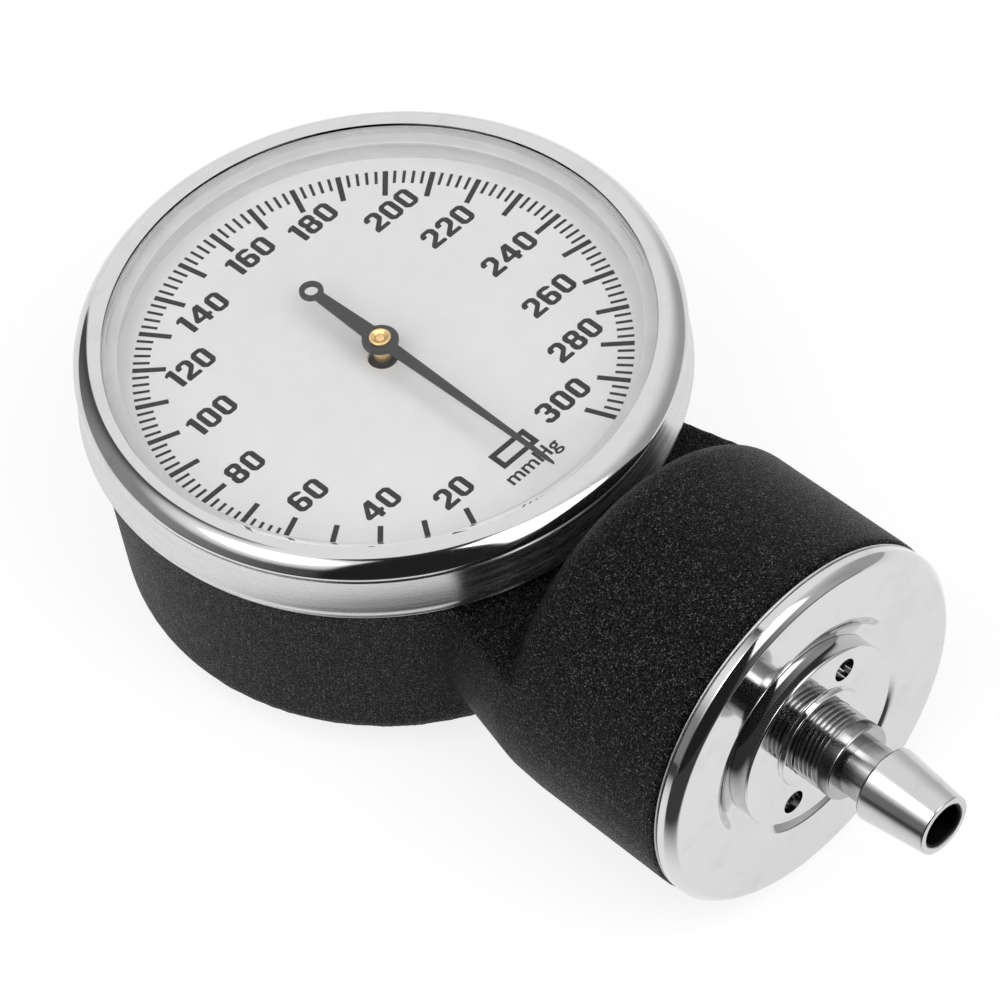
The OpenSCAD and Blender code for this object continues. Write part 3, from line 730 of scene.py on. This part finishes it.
def flat_sheet(outlines, low, thick):
    """Closed outlines in millimetres, holes among them, as a thin plate from low up."""
    bpy.ops.object.select_all(action="DESELECT")
    bpy.ops.curve.primitive_bezier_circle_add()
    sheet = bpy.context.object
    drawing = sheet.data
    drawing.splines.clear()
    drawing.dimensions = "2D"
    drawing.fill_mode = "BOTH"
    for outline in outlines:
        line = drawing.splines.new("POLY")
        line.points.add(len(outline) - 1)
        for point, (x, y) in zip(line.points, outline):
            point.co = (x, y, 0, 1)
        line.use_cyclic_u = True
    bpy.ops.object.convert(target="MESH")
    return thickened(bpy.context.object, low, thick)


def thickened(sheet, low, thick):
    """A flat mesh moved to a height and given a thickness."""
    only(sheet)
    bpy.ops.object.mode_set(mode="EDIT")
    bpy.ops.mesh.select_all(action="SELECT")
    bpy.ops.mesh.remove_doubles(threshold=1e-5)
    bpy.ops.transform.translate(value=(0, 0, low))
    bpy.ops.mesh.extrude_region_move(TRANSFORM_OT_translate={"value": (0, 0, thick)})
    bpy.ops.mesh.select_all(action="SELECT")
    bpy.ops.mesh.normals_make_consistent(inside=False)
    bpy.ops.object.mode_set(mode="OBJECT")
    return sheet


PRINT_LOW, PRINT_THICK = DIAL_TOP - 0.01, 0.03


def mark(value, inner, outer, width):
    """The outline of one scale mark, turned to its value."""
    turn = math.radians(-90 - 1.125 * value)
    out = Vector((math.cos(turn), math.sin(turn)))
    wide = Vector((-out.y, out.x)) * width / 2
    return [tuple(out * r + wide * s) for r, s in
            ((inner, -1), (outer, -1), (outer, 1), (inner, 1))]


MARKS_OUT, TENS_IN, TWOS_IN = 22.3, 19.3, 20.8
TENS_WIDE, TWOS_WIDE = 0.5, 0.28
marks = [mark(value, TENS_IN, MARKS_OUT, TENS_WIDE) for value in range(20, 301, 10)]
marks += [mark(value, TWOS_IN, MARKS_OUT, TWOS_WIDE)
          for value in range(60, 301, 2) if value % 10]
scale_marks = flat_sheet(marks, PRINT_LOW, PRINT_THICK)
finished(scale_marks, "scale_marks", ink, "gauge")

# %% [markdown]
# ### The numbers
#
# The digits are heavy, with cut corners and small counters. Each is drawn once as its
# outer edge and its holes, in millimetres, and then set out for every number.

# %% Digits
DIGIT_GAP = 0.29
BOX = [(0.38, 0), (1.22, 0), (1.6, 0.36), (1.6, 1.94), (1.22, 2.3), (0.38, 2.3),
       (0, 1.94), (0, 0.36)]


def counter(left, right, low, high):
    return [(left, low), (right, low), (right, high), (left, high)]


DIGITS = {
    "0": (1.6, [BOX, counter(0.55, 1.05, 0.42, 1.88)]),
    "1": (0.92, [[(0.33, 0), (0.92, 0), (0.92, 2.3), (0.4, 2.3), (0, 2.08), (0, 1.78),
                  (0.33, 1.86)]]),
    "2": (1.56, [[(0, 0), (1.56, 0), (1.56, 0.42), (0.66, 0.42), (1.4, 1.02),
                  (1.56, 1.24), (1.56, 1.96), (1.2, 2.3), (0.36, 2.3), (0, 1.96),
                  (0, 1.56), (0.53, 1.56), (0.53, 1.8), (0.62, 1.9), (0.94, 1.9),
                  (1.02, 1.8), (1.02, 1.34), (0.94, 1.22), (0.08, 0.56), (0, 0.42)]]),
    "3": (1.6, [[(0.36, 0), (1.22, 0), (1.6, 0.34), (1.6, 0.98), (1.4, 1.18),
                 (1.6, 1.38), (1.6, 1.96), (1.22, 2.3), (0.36, 2.3), (0, 1.96),
                 (0, 1.7), (0.52, 1.7), (0.52, 1.82), (0.6, 1.9), (0.97, 1.9),
                 (1.05, 1.82), (1.05, 1.44), (0.97, 1.37), (0.56, 1.37), (0.56, 0.99),
                 (0.97, 0.99), (1.05, 0.91), (1.05, 0.5), (0.97, 0.42), (0.6, 0.42),
                 (0.52, 0.5), (0.52, 0.66), (0, 0.66), (0, 0.34)]]),
    "4": (1.86, [[(0, 0.84), (0.98, 2.3), (1.6, 2.3), (1.6, 0.86), (1.86, 0.86),
                  (1.86, 0.46), (1.6, 0.46), (1.6, 0), (1.06, 0), (1.06, 0.46),
                  (0.16, 0.46), (0, 0.64)],
                 [(0.58, 0.86), (1.06, 0.86), (1.06, 1.62)]]),
    "6": (1.6, [[(0.38, 0), (1.22, 0), (1.6, 0.36), (1.6, 1.1), (1.24, 1.44),
                 (0.55, 1.44), (0.55, 1.78), (0.64, 1.88), (1.0, 1.88), (1.12, 1.8),
                 (1.6, 1.8), (1.6, 1.98), (1.22, 2.3), (0.38, 2.3), (0, 1.94),
                 (0, 0.36)],
                counter(0.55, 1.05, 0.42, 1.03)]),
    "8": (1.6, [[(0.36, 0), (1.24, 0), (1.6, 0.34), (1.6, 0.96), (1.42, 1.2),
                 (1.58, 1.42), (1.58, 1.98), (1.24, 2.3), (0.36, 2.3), (0.02, 1.98),
                 (0.02, 1.42), (0.18, 1.2), (0, 0.96), (0, 0.34)],
                counter(0.55, 1.05, 0.42, 0.98), counter(0.55, 1.05, 1.4, 1.88)]),
}
NUMBER_SPOTS = {
    20: (-6.83, -15.77), 40: (-12.03, -11.87), 60: (-15.4, -6.37), 80: (-16.83, 0.13),
    100: (-14.63, 6.63), 120: (-12.07, 12.1), 140: (-6.9, 16.0), 160: (0.57, 17.67),
    180: (7.13, 16.3), 200: (12.77, 11.97), 220: (14.7, 6.67), 240: (16.0, 0.13),
    260: (14.8, -6.1), 280: (12.57, -11.53), 300: (6.83, -15.6)}


def number(value, spot):
    """The outlines of one number, centred on its spot."""
    digits = [DIGITS[d] for d in str(value)]
    left = spot[0] - (sum(w for w, _ in digits) + DIGIT_GAP * (len(digits) - 1)) / 2
    outlines = []
    for width, shapes in digits:
        for shape in shapes:
            soft_shape = rounded(shape, 0.1)
            outlines.append([(left + x, spot[1] - 1.15 + y) for x, y in soft_shape])
        left += width + DIGIT_GAP
    return outlines


number_outlines = [o for value, spot in NUMBER_SPOTS.items() for o in number(value, spot)]
numbers = flat_sheet(number_outlines, PRINT_LOW, PRINT_THICK)
finished(numbers, "scale_numbers", ink, "gauge")

# %% [markdown]
# ### The zero box and the unit
#
# The box shows within what the pointer may rest at no pressure. The unit under it is set
# in a plain thin letter, so Blender's own letters serve: made a mesh, then fitted to size.

# %% Zero box and unit
zero_box = flat_sheet([counter(-2.05, 2.25, -17.3, -15.2), counter(-1.5, 1.7, -16.8, -15.72)],
                      PRINT_LOW, PRINT_THICK)
finished(zero_box, "zero_box", ink, "gauge")

UNIT_TALL, UNIT_WIDE, UNIT_LEFT, UNIT_LINE = 2.06, 6.0, -2.83, -19.2
bpy.ops.object.select_all(action="DESELECT")
bpy.ops.object.text_add(location=(0, 0, 0))
unit = bpy.context.object
unit.data.body = "mmHg"
unit.data.size = UNIT_TALL
unit.data.offset = 0.03
bpy.ops.object.convert(target="MESH")
unit = bpy.context.object
low_x = min(v.co.x for v in unit.data.vertices)
high_x = max(v.co.x for v in unit.data.vertices)
only(unit)
unit.scale = (UNIT_WIDE / (high_x - low_x), 1, 1)
unit.location = (UNIT_LEFT - low_x * unit.scale.x, UNIT_LINE, 0)
bpy.ops.object.transform_apply(location=True, rotation=False, scale=True)
thickened(unit, PRINT_LOW, PRINT_THICK)
finished(unit, "unit_letters", ink, "gauge")

# %% [markdown]
# ## The pointer
#
# A thin flat pointer is stamped in one piece: a tapered arm, a round hub and a tail with a
# ring. It is one outline with two holes, thickened, with its edges broken by a bevel. A
# small brass bush with a dished top carries it.

# %% Pointer and bush
POINTER_LOW, POINTER_THICK, HUB_R, TAIL_Y = 22.67, 0.3, 1.65, 8.8
hub_right = arc((0, 0), HUB_R, -70.5, 63, 24)
tail_ring = arc((0, TAIL_Y), 1.1, -63, 243, 48)
hub_left = arc((0, 0), HUB_R, 117, 250.5, 24)
tip = [(-0.16, -20.6), (-0.08, -21.35), (0, -21.6), (0.08, -21.35), (0.16, -20.6)]
hub_hole = arc((0, 0), 1.02, 0, 360, 64)[:-1]
tail_hole = arc((0, TAIL_Y), 0.62, 0, 360, 40)[:-1]
needle = flat_sheet([hub_right + tail_ring + hub_left + tip, hub_hole, tail_hole],
                    POINTER_LOW, POINTER_THICK)
applied(needle, "BEVEL", width=0.04, segments=2, limit_method="ANGLE",
        angle_limit=math.radians(50))
finished(needle, "needle", needle_paint, "pointer_shaft", "pointer")

bush = turned([(0.42, 21.62), (0.95, 21.62), (1.0, 21.67), (1.0, 23.2)]
              + arc((0.86, 23.2), 0.14, 0, 90, 6)
              + [(0.8, 23.34), (0.6, 23.2), (0.46, 23.12), (0.42, 23.05)], steps=96)
finished(bush, "needle_bush", brass, "pointer_shaft", "pointer_bush")

# %% [markdown]
# ## The end cap
#
# A chromed cup that closes the cylinder: a broken outer corner, a flat face, and a shallow
# recess for the nut, with a slope that is hollow at its foot and round at its top. Behind
# the cap a thin bright washer shows as a line.

# %% End cap and washer
CAP_R, CAP_FRONT, CAP_BACK, RECESS_FLOOR, STEM_HOLE = 17.6, 51.4, 49.65, 50.05, 3.8
SLOPE_R, SPIGOT_R = 2.2, 16.06
slope_foot = arc((9.157, RECESS_FLOOR + SLOPE_R), SLOPE_R, -90, -52, 14)
slope_top = arc((12.4, CAP_FRONT - SLOPE_R), SLOPE_R, 128, 90, 14)
broken_corner = (arc((CAP_R - 0.97, CAP_FRONT - 0.5), 0.5, 90, 55, 6)
                 + arc((CAP_R - 1.945, CAP_FRONT - 1.892), 2.2, 53, 30, 8)
                 + arc((CAP_R - 0.3, CAP_FRONT - 0.942), 0.3, 25, 0, 3))
cap = turned(
    [(STEM_HOLE, RECESS_FLOOR)] + slope_foot + slope_top + broken_corner
    + [(CAP_R, CAP_BACK + 0.18), (CAP_R - 0.18, CAP_BACK), (SPIGOT_R, CAP_BACK),
       (SPIGOT_R, 46.45), (SPIGOT_R - 1, 46.45), (SPIGOT_R - 1, 48.55),
       (STEM_HOLE, 48.55)])
finished(cap, "end_cap_shell", plate, "gauge", "end_cap", on_stem=True)

mouth_ring = turned([(16.2, 49.42), (17.53, 49.42), (17.58, 49.47), (17.58, 49.58),
                     (17.53, 49.63), (16.2, 49.63)])
finished(mouth_ring, "mouth_ring", washer_metal, "gauge", "cap_washer",
         on_stem=True)

# %% [markdown]
# ## The nut
#
# A round nut holds the stem in the cap. It has no flats, and is turned with a pin spanner
# that goes into two holes. The holes are cut with two small cylinders.

# %% Nut with spanner holes
HOLE_TURN, HOLE_RING, HOLE_R = math.radians(58.5), 6.8, 1.15
NUT_R, NUT_BORE, NUT_BACK, NUT_FRONT = 9.0, 3.72, 50.07, 52.02
nut = turned(
    [(NUT_BORE, NUT_BACK), (NUT_R - 0.05, NUT_BACK), (NUT_R, NUT_BACK + 0.05),
     (NUT_R, NUT_FRONT - 0.3)]
    + arc((NUT_R - 0.2, NUT_FRONT - 0.2), 0.2, 0, 90, 6)
    + [(4.95, NUT_FRONT)] + arc((4.7, NUT_FRONT + 0.25), 0.15, -20, 90, 6)
    + [(NUT_BORE, NUT_FRONT + 0.4)])
for half in (0, math.pi):
    spot = (HOLE_RING * math.cos(HOLE_TURN + half), HOLE_RING * math.sin(HOLE_TURN + half))
    bpy.ops.mesh.primitive_cylinder_add(vertices=48, radius=HOLE_R, depth=4,
                                        location=(spot[0], spot[1], 51))
    carve(nut, bpy.context.object)
finished(nut, "spanner_nut", plate, "gauge", "spanner_nut", on_stem=True)

# %% [markdown]
# ## The stem and its thread
#
# The stem's core is turned. Its thread is a small three-sided ridge that the Screw modifier
# winds round the axis, half a millimetre further at each turn, and it is then joined on.

# %% Stem
STEM_BACK, STEM_END, NECK_R = 46.81, 62.02, 2.7
THREAD_R, THREAD_ROOT_R, THREAD_START, PITCH, WINDINGS = 3.7, 3.38, 50.1, 0.5, 9
core = turned(
    [(2.0, STEM_BACK), (5.5, STEM_BACK), (5.5, STEM_BACK + 1.2),
     (THREAD_ROOT_R, STEM_BACK + 1.2), (THREAD_ROOT_R, 54.9), (THREAD_R - 0.02, 55.15),
     (THREAD_R, 55.2), (THREAD_R, 56.3)] + arc((THREAD_R - 0.2, 56.32), 0.2, 0, 90, 6)
    + [(NECK_R, 56.52), (NECK_R, STEM_END), (2.0, STEM_END)], steps=192)
ridge = draw_line([(3.2, 0.02), (THREAD_R - 0.02, 0.2), (THREAD_R, 0.25),
                   (THREAD_R - 0.02, 0.3), (3.2, 0.48)], True)
bpy.ops.object.mode_set(mode="OBJECT")
ridge.location = (0, 0, THREAD_START)
applied(ridge, "SCREW", axis="Z", angle=2 * math.pi, screw_offset=PITCH,
        iterations=WINDINGS, steps=96, render_steps=96)
bpy.ops.object.mode_set(mode="EDIT")
bpy.ops.mesh.select_mode(type="EDGE")
bpy.ops.mesh.select_all(action="DESELECT")
bpy.ops.mesh.select_non_manifold()
bpy.ops.mesh.fill_holes(sides=8)
bpy.ops.mesh.select_all(action="SELECT")
bpy.ops.mesh.normals_make_consistent(inside=False)
bpy.ops.mesh.select_mode(type="VERT")
bpy.ops.object.mode_set(mode="OBJECT")
carve(core, ridge, "UNION")
finished(core, "threaded_stem", stem_plate, "gauge", "inlet_stem", on_stem=True)

# %% [markdown]
# ## The hose nipple
#
# A cone that the hose is pushed over, with a rounded shoulder behind it to hold the hose,
# and an open bore whose edge is broken.

# %% Hose nipple
NIPPLE_BACK, NIPPLE_TIP, NIPPLE_SEAT_R = 59.52, 66.42, 2.72
shoulder = arc((3.32, NIPPLE_BACK + 0.28), 0.28, -80, 0, 8)
tip_edge = arc((2.77, NIPPLE_TIP - 0.12), 0.12, 10, 90, 5)
nipple = turned(
    [(NIPPLE_SEAT_R, NIPPLE_BACK), (3.2, NIPPLE_BACK)] + shoulder
    + [(2.9, NIPPLE_TIP - 0.22)] + tip_edge
    + [(2.3, NIPPLE_TIP), (2.0, NIPPLE_TIP - 0.28), (2.0, STEM_END + 0.02),
       (NIPPLE_SEAT_R, STEM_END + 0.02)], steps=192)
finished(nipple, "hose_cone", nipple_plate, "gauge", "hose_nipple", on_stem=True)

# %% [markdown]
# ## The movement's finishes
#
# The movement stays as the CAD model has it, and only gets its finishes: brass plates and
# bushes, steel shafts and screws, a bronze capsule and hairspring, and a rubber seal. The
# window's gasket is pale like the ring that it lies on.

# %% Finishes of the movement
FINISHES = {
    brass: ("base_plate", "bridge_plate", "pillars", "pin_guide", "capsule_boss",
            "sector_gear", "hairspring_collet", "hairspring_stud", "pointer_spindle"),
    steel: ("pillar_screws", "movement_screws", "sector_arbor", "sector_cam", "push_pin",
            "pinion"),
    bronze: ("capsule_front", "capsule_back", "hairspring"),
    rubber: ("stem_washer",),
    ring_plastic: ("lens_gasket",),
}
for finish, names in FINISHES.items():
    for name in names:
        nodes[name].data.materials.clear()
        nodes[name].data.materials.append(finish)
print("finished nodes", sum(len(names) for names in FINISHES.values()))
